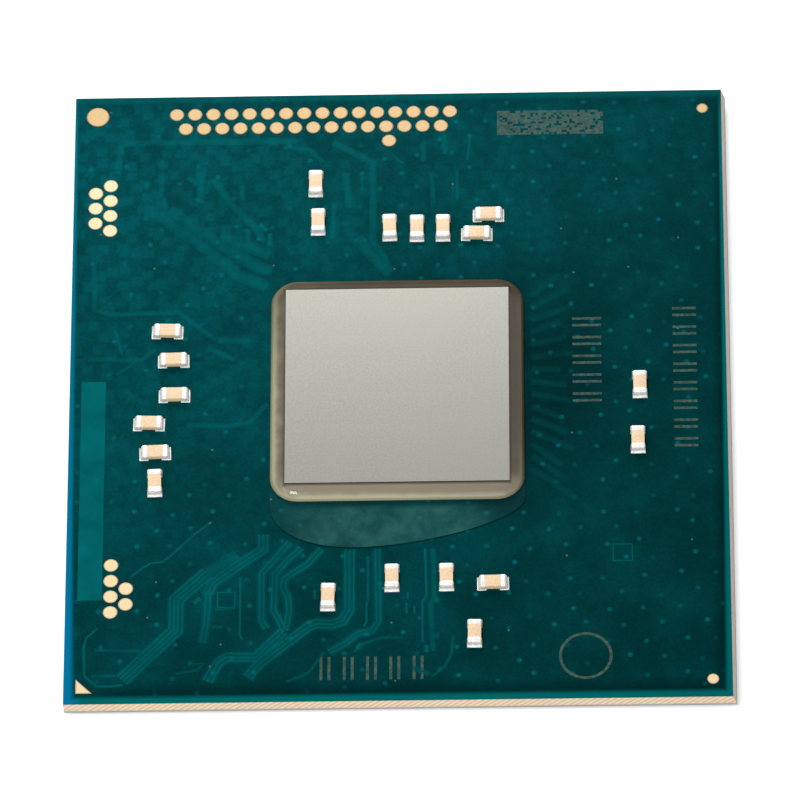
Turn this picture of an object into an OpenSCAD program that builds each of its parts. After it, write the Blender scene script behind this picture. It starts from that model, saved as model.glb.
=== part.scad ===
// Flip-chip ball grid array processor package: an organic substrate with solder mask on
// both faces, a bare silicon die seated in cast underfill, chip capacitors, bare gold
// pads and a field of solder balls. Millimetres, +Z up, the balls stand on Z = 0.

/* [Substrate] */
// Width of the package along X, at its lower face
board_w = 25.16; // [24:0.02:30]
// Depth of the package along Y
board_d = 27; // [26:0.1:32]
// Thickness of the glass-and-resin laminate
laminate_t = 0.57; // [0.3:0.01:1.2]
// Thickness of each solder mask layer
mask_t = 0.025; // [0.01:0.005:0.05]
// How far the sawn right edge leans in from bottom to top
saw_draft = 0.16; // [0:0.01:0.3]
// Clearance between a bare pad and the solder mask round it
mask_gap = 0.01; // [0:0.005:0.03]

/* [Die] */
// Width of the silicon die along X
die_w = 8.5; // [7:0.1:9]
// Depth of the silicon die along Y
die_d = 8.6; // [7:0.1:9]
// Thickness of the silicon die
die_t = 0.43; // [0.2:0.01:0.8]
// Gap under the die that the underfill takes up
die_gap = 0.07; // [0.05:0.01:0.12]
// Place of the die along X, from the middle of the package
die_x = -0.1; // [-1:0.05:1]
// Place of the die along Y, from the middle of the package
die_y = 0; // [-1:0.05:1]

/* [Underfill] */
// Width of the cast bead round the die
bead_w = 0.58; // [0.3:0.01:1]
// How far the bead stops below the top of the die
bead_drop = 0.05; // [0.01:0.01:0.2]
// Radius of the bead's corners, seen from above
bead_corner_r = 1.05; // [1:0.01:1.5]
// Fullness of the bead's section: 2 is a round section, more is squarer
bead_fullness = 2.3; // [1.5:0.1:4]
// How far the thin film runs out in front of the bead
film_reach = 2; // [1:0.1:2.4]
// Place of the film's furthest point along X, from the middle of the die
film_peak_x = -1.4; // [-3:0.1:3]
// Thickness of the thin film
film_t = 0.04; // [0.02:0.01:0.05]

/* [Capacitors] */
// Length of a chip capacitor
cap_l = 1; // [0.8:0.02:1.2]
// Width of a chip capacitor
cap_w = 0.54; // [0.4:0.01:0.6]
// Height of a chip capacitor
cap_h = 0.28; // [0.2:0.01:0.5]
// Length of each metal end
cap_end_l = 0.24; // [0.15:0.01:0.3]
// Thickness of the metal on each end
cap_plating = 0.02; // [0.01:0.005:0.03]
// Radius of the metal ends' edges
cap_edge_r = 0.05; // [0.03:0.01:0.08]
// Thickness of the solder between a metal end and the mask's level
cap_lift = 0.015; // [0.005:0.005:0.03]
// How far the solder runs out past a metal end
solder_toe = 0.09; // [0.03:0.01:0.1]
// How high the solder climbs a metal end
solder_climb = 0.19; // [0.05:0.01:0.2]

/* [Pads] */
// Diameter of a test pad
test_pad_d = 0.54; // [0.3:0.01:0.6]
// Thickness of the plated copper pads
pad_t = 0.02; // [0.01:0.005:0.025]
// Pitch of the test pads along the top edge
top_pad_pitch = 0.705; // [0.68:0.005:0.8]
// Distance between the rows of test pads along the top edge
top_row_step = 0.655; // [0.6:0.005:0.8]
// Number of test pads in the first row along the top edge
top_pad_count = 16; // [4:1:20]
// First test pad of the top edge, from the left edge
top_pad_inset_x = 3.93; // [3:0.01:5]
// First row of test pads, from the top edge
top_pad_inset_y = 0.82; // [0.6:0.01:1.5]
// Pitch of the test pads in the left groups
side_pad_pitch = 0.68; // [0.64:0.005:0.8]
// Distance between the columns of test pads in the left groups
side_column_step = 0.57; // [0.5:0.005:0.8]
// Upper left group of test pads, from the left edge
upper_group_inset_x = 0.85; // [0.6:0.01:1.5]
// Upper left group of test pads, from the top edge
upper_group_inset_y = 4.05; // [3.5:0.01:5]
// Lower left group of test pads, from the left edge
lower_group_inset_x = 1.7; // [1.2:0.01:2]
// Lower left group of test pads, from the bottom edge
lower_group_inset_y = 3.95; // [3.5:0.01:5]
// Diameter of the large fiducial
large_fiducial_d = 0.86; // [0.5:0.01:1]
// Diameter of the small fiducials
small_fiducial_d = 0.43; // [0.2:0.01:0.6]
// Distance of the small fiducials' centres from the right edge
fiducial_inset_x = 0.73; // [0.7:0.01:1.2]
// Distance of the upper small fiducial's centre from the top edge
upper_fiducial_inset_y = 0.84; // [0.7:0.01:1.2]
// Distance of the lower small fiducial's centre from the bottom edge
lower_fiducial_inset_y = 0.76; // [0.7:0.01:1.2]
// Distance of the large fiducial's centre from the edges
large_fiducial_inset = 0.87; // [0.7:0.01:1.2]
// Length of the pin one triangle's short sides
pin_one_leg = 0.6; // [0.3:0.01:1]
// Distance of the pin one triangle from the edges
pin_one_inset = 0.46; // [0.3:0.01:1]

/* [Ball grid] */
// Half the distance between neighbouring balls along X and Y in the staggered grid
ball_step = 0.42; // [0.4:0.005:0.425]
// Diameter of a ball at its widest
ball_d = 0.38; // [0.3:0.01:0.42]
// Height of a ball after soldering
ball_h = 0.33; // [0.28:0.005:0.36]
// Diameter of the pad face that a ball holds on to
ball_neck_d = 0.3; // [0.2:0.01:0.32]
// Steps from the middle column to the last one
ball_columns = 28; // [24:1:28]
// Steps from the middle row to the last one
ball_rows = 30; // [24:1:30]
// Steps from the middle to the side of the open square core field
core_steps = 14; // [8:2:16]
// Steps that the empty ring round the core field takes
ring_steps = 3; // [1:1:4]
// Steps that the full rows and columns along the rim take
rim_steps = 4; // [2:1:6]
// Steps that are cut off at each corner
corner_cut_steps = 3; // [1:1:6]

/* [Hidden] */
$fn = 72;

// Levels from the ground up
laminate_z = ball_h + mask_t;
laminate_top = laminate_z + laminate_t;
board_top = laminate_top + mask_t;
die_z = board_top + die_gap;
die_top = die_z + die_t;
bead_top = die_top - bead_drop;
cap_z = board_top + cap_lift;

// Edges of the top face: the right one leans in
left_edge = -board_w / 2;
right_edge = board_w / 2 - saw_draft;
top_edge = board_d / 2;
bottom_edge = -board_d / 2;

// Front and back of the die and the ends of the film in front of it
die_front = die_y - die_d / 2;
die_back = die_y + die_d / 2;
film_start = die_front - bead_w;
film_end = film_start - film_reach;

// Small overlap that makes a cut run clean through
through = 0.1;
// Points along one curve of a section
curve_points = 8;

// Capacitors as [x, y, turn]: behind the die, in front of the film, at the left edge
// and at the right edge. A turn of 90 lays a capacitor along Y.
caps_behind = [for (p = [[-3.15, 5.1, 90], [-3.05, 3.35, 90], [-0.3, 3.05, 90],
    [0.75, 3, 90], [1.75, 3, 90], [3.5, 3.55, 0], [3.05, 2.7, 0]]) [die_x + p[0], die_back + p[1], p[2]]];
caps_in_front = [for (p = [[-0.2, 1.35, 90], [1.85, 1.35, 90], [3.6, 1.65, 0],
    [-2.6, 2.15, 90], [2.9, 3.8, 90]]) [die_x + p[0], film_end - p[1], p[2]]];
caps_left = [for (p = [[3.7, 2.75, 0], [3.95, 1.45, 0], [4, -0.1, 0], [3.05, -1.35, 0],
    [3.3, -2.65, 0], [3.3, -3.95, 90]]) [left_edge + p[0], die_y + p[1], p[2]]];
caps_right = [for (p = [[3.3, 0.15, 90], [3.4, -2.3, 90]])
    [right_edge - p[0], die_y + p[1], p[2]]];
cap_places = concat(caps_behind, caps_in_front, caps_left, caps_right);

// Test pads as [pitches, rows]: two staggered rows and one lone pad at the top edge, and
// two groups left
lone_pad_pitches = 11.66;
top_pads = concat(
    [for (i = [0 : top_pad_count - 1]) [i, 0]],
    [for (i = [0 : top_pad_count - 2]) [i + 0.5, 1]],
    [[lone_pad_pitches, 2]]);
top_pad_places = [for (p = top_pads)
    [left_edge + top_pad_inset_x + p[0] * top_pad_pitch,
     top_edge - top_pad_inset_y - p[1] * top_row_step]];
upper_left_pads = [for (i = [0 : 3]) each (i < 3 ? [[1, i], [0, i + 0.5]] : [[1, i]])];
upper_left_places = [for (p = upper_left_pads)
    [left_edge + upper_group_inset_x + p[0] * side_column_step,
     top_edge - upper_group_inset_y - p[1] * side_pad_pitch]];
lower_left_pads = [[0, 3], [0, 2], [0, 1], [0, 0], [1, 1.5], [1, 0.5]];
lower_left_places = [for (p = lower_left_pads)
    [left_edge + lower_group_inset_x + p[0] * side_column_step,
     bottom_edge + lower_group_inset_y + p[1] * side_pad_pitch]];
small_fiducial_places = [
    [right_edge - fiducial_inset_x, top_edge - upper_fiducial_inset_y],
    [right_edge - fiducial_inset_x, bottom_edge + lower_fiducial_inset_y]];
large_fiducial_place = [left_edge + large_fiducial_inset, top_edge - large_fiducial_inset];

// Solder balls stand where column and row are both even or both odd. The core field
// keeps only the even ones, a ring and eight lanes stay empty, and so do the corners.
lane_steps = [9, 20];
lane_half = 1;
function even(n) = n % 2 == 0;
function in_lane(n) = len([for (m = lane_steps) if (abs(abs(n) - m) <= lane_half) 1]) > 0;
function in_core(i, j) = max(abs(i), abs(j)) <= core_steps;
function in_ring(i, j) = !in_core(i, j) && max(abs(i), abs(j)) <= core_steps + ring_steps;
function at_corner(i, j) = abs(i) + abs(j) > ball_columns + ball_rows - corner_cut_steps;
function in_bed(i, j) = !in_core(i, j) && !in_ring(i, j);
function crosses(i, j) = abs(j) > abs(i) ? in_lane(i) : in_lane(j);
function rim_ball(i, j) = abs(i) > ball_columns - rim_steps || abs(j) > ball_rows - rim_steps;
function has_ball(i, j) = even(i + j) && !at_corner(i, j) &&
    ((in_core(i, j) && even(i)) || (in_bed(i, j) && (rim_ball(i, j) || !crosses(i, j))));
ball_places = [for (j = [-ball_rows : ball_rows]) for (i = [-ball_columns : ball_columns])
    if (has_ball(i, j)) [i * ball_step, j * ball_step]];
function is_foot(p) = abs(p[0]) > (ball_columns - corner_cut_steps) * ball_step &&
    abs(p[1]) > (ball_rows - corner_cut_steps) * ball_step;
foot_balls = [for (p = ball_places) if (is_foot(p)) p];
field_balls = [for (p = ball_places) if (!is_foot(p)) p];
field_count = 6;
field_names = [for (k = [1 : field_count]) str("solder_balls_field_", k)];

two_digits = function(n) str(n < 10 ? "0" : "", n);
cap_names = [for (k = [1 : len(cap_places)]) str("capacitor_", two_digits(k))];

// Plan of the package at a height above the ground: the right edge leans in
module slice(z, t) {
    lean = saw_draft / (board_top - ball_h);
    low = board_w - (z - ball_h) * lean;
    high = board_w - (z + t - ball_h) * lean;
    rotate([90, 0, 0])
        linear_extrude(height = board_d, center = true)
            polygon([[left_edge, z], [left_edge + low, z],
                     [left_edge + high, z + t], [left_edge, z + t]]);
}

module substrate() {
    color("#d8c4a0") slice(laminate_z, laminate_t);
}

module solder_mask_bottom() {
    color("#0a5a4a") slice(ball_h, mask_t);
}

// Round holes that leave a pad of diameter d bare at each place
module pad_openings(places, d) {
    for (p = places)
        translate([p[0], p[1], laminate_top - through])
            cylinder(h = mask_t + 2 * through, d = d + 2 * mask_gap);
}

module solder_mask_top() {
    color("#045a54") difference() {
        slice(laminate_top, mask_t);
        pad_openings(concat(top_pad_places, upper_left_places, lower_left_places),
                     test_pad_d);
        pad_openings(small_fiducial_places, small_fiducial_d);
        pad_openings([large_fiducial_place], large_fiducial_d);
        translate([left_edge + pin_one_inset, bottom_edge + pin_one_inset,
                   laminate_top - through])
            linear_extrude(height = mask_t + 2 * through)
                corner_triangle(pin_one_leg + leg_growth * mask_gap, -mask_gap);
        for (p = cap_places)
            translate([p[0], p[1], laminate_top - through]) rotate(p[2])
                for (side = [-1, 1])
                    translate([side * (joint_out + joint_in) / 2, 0, 0])
                        box_on_floor(joint_out - joint_in + 2 * mask_gap,
                                     cap_w + 2 * mask_gap, mask_t + 2 * through);
    }
}

// A triangle's short side grows by this many times the gap that is kept round it
leg_growth = 2 + sqrt(2);

// Right-angled triangle with its square corner at [start, start]
module corner_triangle(leg, start = 0) {
    polygon([[start, start], [start + leg, start], [start, start + leg]]);
}

module box_on_floor(x, y, z) {
    translate([-x / 2, -y / 2, 0]) cube([x, y, z]);
}

module die() {
    color("#bfbfb6") translate([die_x, die_y, die_z]) box_on_floor(die_w, die_d, die_t);
}

// Half section of the bead, from the corner sweep's axis out to the bead's foot
bead_rise = bead_top - board_top;
bead_start = bead_corner_r - bead_w;
function bead_height(t) = bead_rise * pow(1 - pow(t, bead_fullness), 1 / bead_fullness);
bead_curve = [for (k = [0 : curve_points])
    let (t = sin(90 * k / curve_points)) [bead_start + bead_w * t, bead_height(t)]];
bead_section = concat([[0, 0], [0, bead_rise]], bead_curve);

// Outline of the film: a lobe that is full on its left and drawn out on its right
film_half_w = die_w / 2 + bead_w;
left_fullness = 2.3;
right_fullness = 1.6;
film_steps = 12;
function lobe(t, n) = film_reach * pow(max(0, 1 - pow(t, n)), 1 / n);
function lobe_side(x_end, n) = [for (k = [0 : film_steps])
    let (t = sin(90 * k / film_steps))
    [film_peak_x + (x_end - film_peak_x) * t, -lobe(t, n)]];
function backwards(list) = [for (k = [len(list) - 1 : -1 : 1]) list[k]];
film_outline = concat(backwards(lobe_side(-film_half_w, left_fullness)),
                      lobe_side(film_half_w, right_fullness),
                      [[film_half_w, bead_w + die_d / 2], [-film_half_w, bead_w + die_d / 2]]);

// Bead, film and the layer under the die are one casting with the die's seat left in it
module underfill() {
    core_w = die_w + 2 * (bead_w - bead_corner_r);
    core_d = die_d + 2 * (bead_w - bead_corner_r);
    color("#7c6a50") difference() {
        union() {
            translate([die_x, die_y, board_top]) {
                box_on_floor(core_w, core_d, bead_rise);
                for (turn = [0, 180]) rotate(turn) {
                    translate([core_w / 2, 0, 0]) bead_side(core_d);
                    rotate(90) translate([core_d / 2, 0, 0]) bead_side(core_w);
                    for (flip = [0, 1]) mirror([0, flip, 0])
                        translate([core_w / 2, core_d / 2, 0])
                            rotate_extrude(angle = 90) polygon(bead_section);
                }
            }
            translate([die_x, film_start, board_top])
                linear_extrude(height = film_t) polygon(film_outline);
        }
        translate([die_x, die_y, die_z])
            box_on_floor(die_w, die_d, die_t + through);
    }
}

// Straight stretch of the bead along Y
module bead_side(length) {
    rotate([90, 0, 0]) linear_extrude(height = length, center = true)
        polygon(bead_section);
}

// Plated copper pads that stand on the laminate
module round_pads(places, d) {
    for (p = places) translate([p[0], p[1], laminate_top]) cylinder(h = pad_t, d = d);
}

module test_pads_top_edge() {
    color("#e8cf9a") round_pads(top_pad_places, test_pad_d);
}

module test_pads_upper_left() {
    color("#e8cf9a") round_pads(upper_left_places, test_pad_d);
}

module test_pads_lower_left() {
    color("#e8cf9a") round_pads(lower_left_places, test_pad_d);
}

module fiducial_large() {
    color("#e8cf9a") round_pads([large_fiducial_place], large_fiducial_d);
}

module fiducial_upper_right() {
    color("#e8cf9a") round_pads([small_fiducial_places[0]], small_fiducial_d);
}

module fiducial_lower_right() {
    color("#e8cf9a") round_pads([small_fiducial_places[1]], small_fiducial_d);
}

module pin_one_mark() {
    color("#e8cf9a")
        translate([left_edge + pin_one_inset, bottom_edge + pin_one_inset, laminate_top])
            linear_extrude(height = pad_t) corner_triangle(pin_one_leg);
}

// Rectangle x by y with rounded corners
module rounded_plan(x, y, r) {
    square([x - 2 * r, y], center = true);
    square([x, y - 2 * r], center = true);
    for (sx = [-1, 1], sy = [-1, 1])
        translate([sx * (x / 2 - r), sy * (y / 2 - r)]) circle(r);
}

module cap_at(k) {
    p = cap_places[k - 1];
    translate([p[0], p[1], cap_z]) rotate(p[2]) children();
}

module ceramic_block() {
    translate([0, 0, cap_plating])
        box_on_floor(cap_l - 2 * cap_plating, cap_w - 2 * cap_plating,
                     cap_h - 2 * cap_plating);
}

module capacitor_body(k) {
    color("#d9a878") cap_at(k) ceramic_block();
}

// Two metal cups, rounded along their length and in plan, that hold the ceramic block
module capacitor_ends(k) {
    color("#d8d8d4") cap_at(k) difference() {
        intersection() {
            linear_extrude(height = cap_h) rounded_plan(cap_l, cap_w, cap_edge_r);
            translate([0, 0, cap_h / 2]) rotate([90, 0, 90])
                linear_extrude(height = cap_l, center = true)
                    rounded_plan(cap_w, cap_h, cap_edge_r);
        }
        ceramic_block();
        translate([0, 0, -through])
            box_on_floor(cap_l - 2 * cap_end_l, cap_w + 2 * through, cap_h + 2 * through);
    }
}

// Solder joint: a pad-wide layer under the metal end and a hollow slope up its face
joint_out = cap_l / 2 + solder_toe;
joint_in = cap_l / 2 - cap_end_l;
joint_lift = mask_t + cap_lift;
toe_t = joint_lift / 2;
slope = [for (k = [0 : curve_points])
    let (a = 90 * k / curve_points)
    [cap_l / 2 + solder_toe * (1 - cos(a)),
     toe_t + (joint_lift + solder_climb - toe_t) * (1 - sin(a))]];
joint_section = concat([[joint_in, 0], [joint_in, joint_lift], [cap_l / 2, joint_lift]],
                       slope, [[joint_out, 0]]);

module capacitor_solder_joints() {
    color("#c9ccd0") for (p = cap_places)
        translate([p[0], p[1], laminate_top]) rotate(p[2])
            for (side = [0, 180]) rotate(side)
                rotate([90, 0, 0])
                    linear_extrude(height = cap_w, center = true) polygon(joint_section);
}

// Half section of a ball: round, cut flat where it holds on and slightly at its foot
ball_r = ball_d / 2;
ball_mid = ball_h - sqrt(pow(ball_r, 2) - pow(ball_neck_d / 2, 2));
neck_angle = acos(ball_neck_d / ball_d);
foot_flat = 0.94;
foot_angle = -asin(min(ball_mid / ball_r, foot_flat));
ball_points = 5;
ball_section = concat([[0, 0]],
    [for (k = [0 : ball_points])
        let (a = foot_angle + (neck_angle - foot_angle) * k / ball_points)
        [ball_r * cos(a), k == 0 ? 0 : ball_mid + ball_r * sin(a)]],
    [[0, ball_h]]);

module balls(places) {
    color("#c4c8cc") for (p = places)
        translate([p[0], p[1], 0]) rotate_extrude() polygon(ball_section);
}

module solder_balls_corners() {
    balls(foot_balls);
}

// Field k holds every ball whose turn it is in equal runs of the list
module solder_balls_field(k) {
    run = ceil(len(field_balls) / field_count);
    last = min(k * run, len(field_balls)) - 1;
    balls([for (n = [(k - 1) * run : last]) field_balls[n]]);
}

substrate();
solder_mask_top();
solder_mask_bottom();
die();
underfill();
test_pads_top_edge();
test_pads_upper_left();
test_pads_lower_left();
fiducial_large();
fiducial_upper_right();
fiducial_lower_right();
pin_one_mark();
capacitor_solder_joints();
solder_balls_corners();
for (k = [1 : field_count])
    solder_balls_field(k);
for (k = [1 : len(cap_places)]) {
    capacitor_body(k);
    capacitor_ends(k);
}
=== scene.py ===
"""Dresses a flip-chip ball grid array package: substrate, die, underfill, capacitors, balls."""
import math
import random
from functools import partial

import bpy
from mathutils import Matrix, Vector


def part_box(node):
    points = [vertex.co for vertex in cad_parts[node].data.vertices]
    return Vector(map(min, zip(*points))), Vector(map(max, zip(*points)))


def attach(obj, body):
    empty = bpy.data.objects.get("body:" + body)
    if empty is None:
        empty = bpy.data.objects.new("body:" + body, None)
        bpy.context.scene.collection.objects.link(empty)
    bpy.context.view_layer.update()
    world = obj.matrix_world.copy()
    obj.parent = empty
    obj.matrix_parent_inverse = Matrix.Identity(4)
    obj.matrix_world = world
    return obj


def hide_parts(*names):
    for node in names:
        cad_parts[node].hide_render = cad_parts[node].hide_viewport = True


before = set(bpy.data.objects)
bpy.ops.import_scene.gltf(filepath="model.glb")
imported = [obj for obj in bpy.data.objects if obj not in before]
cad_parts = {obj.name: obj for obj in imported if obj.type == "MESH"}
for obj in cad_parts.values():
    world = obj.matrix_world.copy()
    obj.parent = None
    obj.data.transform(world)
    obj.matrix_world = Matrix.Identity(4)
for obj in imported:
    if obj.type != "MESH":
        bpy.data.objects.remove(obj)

bl_info = {
    "name": "Ball Grid Array Package",
    "version": (1, 0, 0),
    "blender": (4, 5, 0),
    "location": "View3D > Sidebar > Package",
    "description": "Finishes and small parts of a flip-chip processor package",
    "category": "Object",
}

MM = 0.001

# The frame's own measures, in metres
BOARD_LOW, BOARD_HIGH = (Vector(corner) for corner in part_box("solder_mask_top"))
LAMINATE_LOW = Vector(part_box("substrate")[0])
DIE_LOW, DIE_HIGH = (Vector(corner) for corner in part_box("die"))
BEAD_LOW, BEAD_HIGH = (Vector(corner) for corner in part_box("underfill"))
BOARD_TOP = BOARD_HIGH.z
BEAD_WIDTH = DIE_LOW.x - BEAD_LOW.x
CAPACITORS = sorted(n[:-5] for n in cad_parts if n.endswith("_body"))
BALL_FIELDS = sorted(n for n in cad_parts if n.startswith("solder_balls_"))
GOLD_PADS = ["test_pads_top_edge", "test_pads_upper_left", "test_pads_lower_left", "fiducial_large",
             "fiducial_upper_right", "fiducial_lower_right", "pin_one_mark"]

# Places of what is marked on the mask, in millimetres from the middle of the package
STRIP_LOW, STRIP_HIGH = (-12.13, -9.03, 0), (-11.2, 0.59, 0)
PATCH_MIDDLE, PATCH_BLOCKS = (5.8, 12.1), (41, 11)
RING_MIDDLE, RING_RADIUS = (6.95, -11.68), 0.95
BAR_SPACING = 0.3


def linear(hex_colour):
    """Linear RGB of an sRGB hex colour such as "#1a2b3c"."""
    parts = [int(hex_colour[i:i + 2], 16) / 255 for i in (1, 3, 5)]
    return tuple(c / 12.92 if c <= 0.04045 else ((c + 0.055) / 1.055) ** 2.4 for c in parts)


def colour_prop(name, description, hex_colour):
    return bpy.props.FloatVectorProperty(name=name, description=description, size=3, subtype="COLOR",
                                         default=linear(hex_colour), min=0, max=1)


def length_prop(name, description, default_mm):
    return bpy.props.FloatProperty(name=name, description=description, default=default_mm * MM,
                                   min=0, unit="LENGTH", precision=5)


class PackageColours(bpy.types.PropertyGroup):
    """Colours of the package's finishes"""
    mask_deep: colour_prop("Mask, deep", "Solder mask over bare laminate", "#002e2f")
    mask_clear: colour_prop("Mask, clear", "Solder mask over copper planes", "#00494e")
    mask_margin: colour_prop("Mask margin", "Mask on the copper-free rim", "#006162")
    mask_edge: colour_prop("Mask edge", "Mask on the rim's left side", "#00709a")
    mask_trace: colour_prop("Mask on traces", "Mask raised over traces", "#006668")
    mask_via: colour_prop("Mask on vias", "Mask that fills a via", "#00646a")
    mask_strip: colour_prop("Marking strip", "Mask over the marking strip", "#006467")
    laminate: colour_prop("Laminate", "Sawn edge of the substrate", "#e6d2b6")
    laminate_fibre: colour_prop("Glass fibre", "Cut glass in the edge", "#ccb08e")
    # Painted shade: a greyer, darker laminate colour for the two short sides
    laminate_side_painted_shade: colour_prop("Laminate side", "Short sides, painted greyer as shade", "#d3c8c1")
    laminate_skin: colour_prop("Laminate skin", "Lowest resin layer", "#b7a5a0")
    silicon: colour_prop("Silicon", "Ground back of the die", "#7e7e77")
    silicon_side: colour_prop("Silicon side", "Sawn wall of the die", "#4a443a")
    epoxy_thick: colour_prop("Underfill, thick", "Epoxy beside the die", "#42382b")
    # Painted light: a lighter copy of the thick epoxy for the front side
    epoxy_front_painted_lit: colour_prop("Underfill, front", "Epoxy at the dosing side", "#7c6f60")
    epoxy_thin: colour_prop("Underfill, thin", "Epoxy at its thin edge", "#a8a383")
    epoxy_film: colour_prop("Underfill film", "Thin film on the mask", "#255c57")
    gold: colour_prop("Gold", "Immersion gold on the pads", "#c6a674")
    gold_rim: colour_prop("Gold rim", "Gold where the mask laps over", "#94784e")
    tin: colour_prop("Tin", "Plated ends and solder", "#efede8")
    ceramic: colour_prop("Ceramic", "Fired capacitor body", "#f3d4ae")
    laser: colour_prop("Laser mark", "Mask etched by a laser", "#4a5f54")


class PackageSizes(bpy.types.PropertyGroup):
    """Sizes of the package's fine detail"""
    trace_width: length_prop("Trace width", "Width of one trace under the mask", 0.12)
    trace_pitch: length_prop("Trace pitch", "Pitch of the traces in a bundle", 0.16)
    trace_rise: length_prop("Trace rise", "Height of the mask over a trace", 0.004)
    via_pitch: length_prop("Via pitch", "Usual distance between filled vias", 1.0)
    margin: length_prop("Margin", "Width of the copper-free rim", 0.34)
    mark_line: length_prop("Mark line", "Width of a laser mark's line", 0.12)
    mark_rise: length_prop("Mark rise", "Height of a laser mark", 0.002)
    block: length_prop("Block", "Side of one block in the block patch", 0.1)
    fibre_pitch: length_prop("Fibre pitch", "Pitch of the saw marks", 0.26)
    pad_rim: length_prop("Pad rim", "Width of a gold pad's rim", 0.035)
    plating: length_prop("Plating", "Thickness of a capacitor's plated ends", 0.02)
    plated_end: length_prop("Plated end", "Length of a capacitor's plated ends", 0.24)
    end_round: length_prop("End radius", "Radius of a plated end's edges", 0.07)
    solder_toe: length_prop("Solder toe", "How far solder runs out past an end", 0.09)
    solder_climb: length_prop("Solder climb", "How high solder climbs an end", 0.19)


def colours():
    return bpy.context.scene.package_colours


def sizes():
    return bpy.context.scene.package_sizes


# ---------------------------------------------------------------- materials

# Settings of a Map Range node that eases at both ends, and of a Mix node for colours. A
# range whose From Min is the greater one runs downwards.
EASED = {"interpolation_type": "SMOOTHSTEP"}
OF_COLOURS = {"data_type": "RGBA"}


def result(node):
    """The node's first live output"""
    return next(output for output in node.outputs if output.enabled)


def connect(node, inputs):
    """Set the node's inputs; one that is given as a node or a socket is linked."""
    for key, value in inputs.items():
        socket = node.inputs[key]
        if isinstance(value, bpy.types.Node):
            value = result(value)
        if isinstance(value, bpy.types.NodeSocket):
            node.id_data.links.new(value, socket)
        elif socket.type == "RGBA":
            socket.default_value = (*value[:3], 1.0)
        else:
            socket.default_value = value


def add_node(tree, kind, inputs=None, **settings):
    """Add a shader node with its settings and its inputs."""
    node = tree.nodes.new("ShaderNode" + kind)
    for name, value in settings.items():
        setattr(node, name, value)
    connect(node, inputs or {})
    return node


def new_material(name):
    """A material with a Principled shader: the material, the function that adds a node
    to it, the shader, and the object's points in millimetres."""
    material = bpy.data.materials.new(name)
    material.use_nodes = True
    material.node_tree.nodes.clear()
    add = partial(add_node, material.node_tree)
    shader = add("BsdfPrincipled")
    add("OutputMaterial", {"Surface": shader})
    place = add("TexCoord").outputs["Object"]
    points = add("Mapping", {"Vector": place, "Scale": (1 / MM,) * 3})
    return material, add, shader, points


def finish(add, shader, colour, height=None, strength=0.2, distance_mm=0.004, **values):
    """Give the shader its colour, its relief and its own settings, in whose names an
    underscore stands for a space."""
    inputs = {name.replace("_", " "): value for name, value in values.items()}
    if height:
        inputs["Normal"] = add("Bump", {"Height": height, "Strength": strength,
                                        "Distance": distance_mm * MM})
    connect(shader, {"Base Color": colour, **inputs})


def blend(add, value, start, end, tone, other, most=1.0, **settings):
    """Colour that turns from tone into the other one as the value goes from start to
    end, where the other one's share is most"""
    share = add("MapRange", {"Value": value, "From Min": start, "From Max": end, "To Max": most},
                **settings)
    return add("Mix", {0: share, 6: tone, 7: other}, **OF_COLOURS)


def wear(node_name, material):
    """Give a carried-over solid its finish in every slot."""
    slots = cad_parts[node_name].data.materials
    if not slots:
        slots.append(material)
    for index in range(len(slots)):
        slots[index] = material


def insets(add, axes, low, high):
    """How far a point lies inside the left, right, front and rear sides of a box"""
    return [add("Math", {0: axes["X"], 1: low.x}, operation="SUBTRACT"),
            add("Math", {0: high.x, 1: axes["X"]}, operation="SUBTRACT"),
            add("Math", {0: axes["Y"], 1: low.y}, operation="SUBTRACT"),
            add("Math", {0: high.y, 1: axes["Y"]}, operation="SUBTRACT")]


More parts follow.
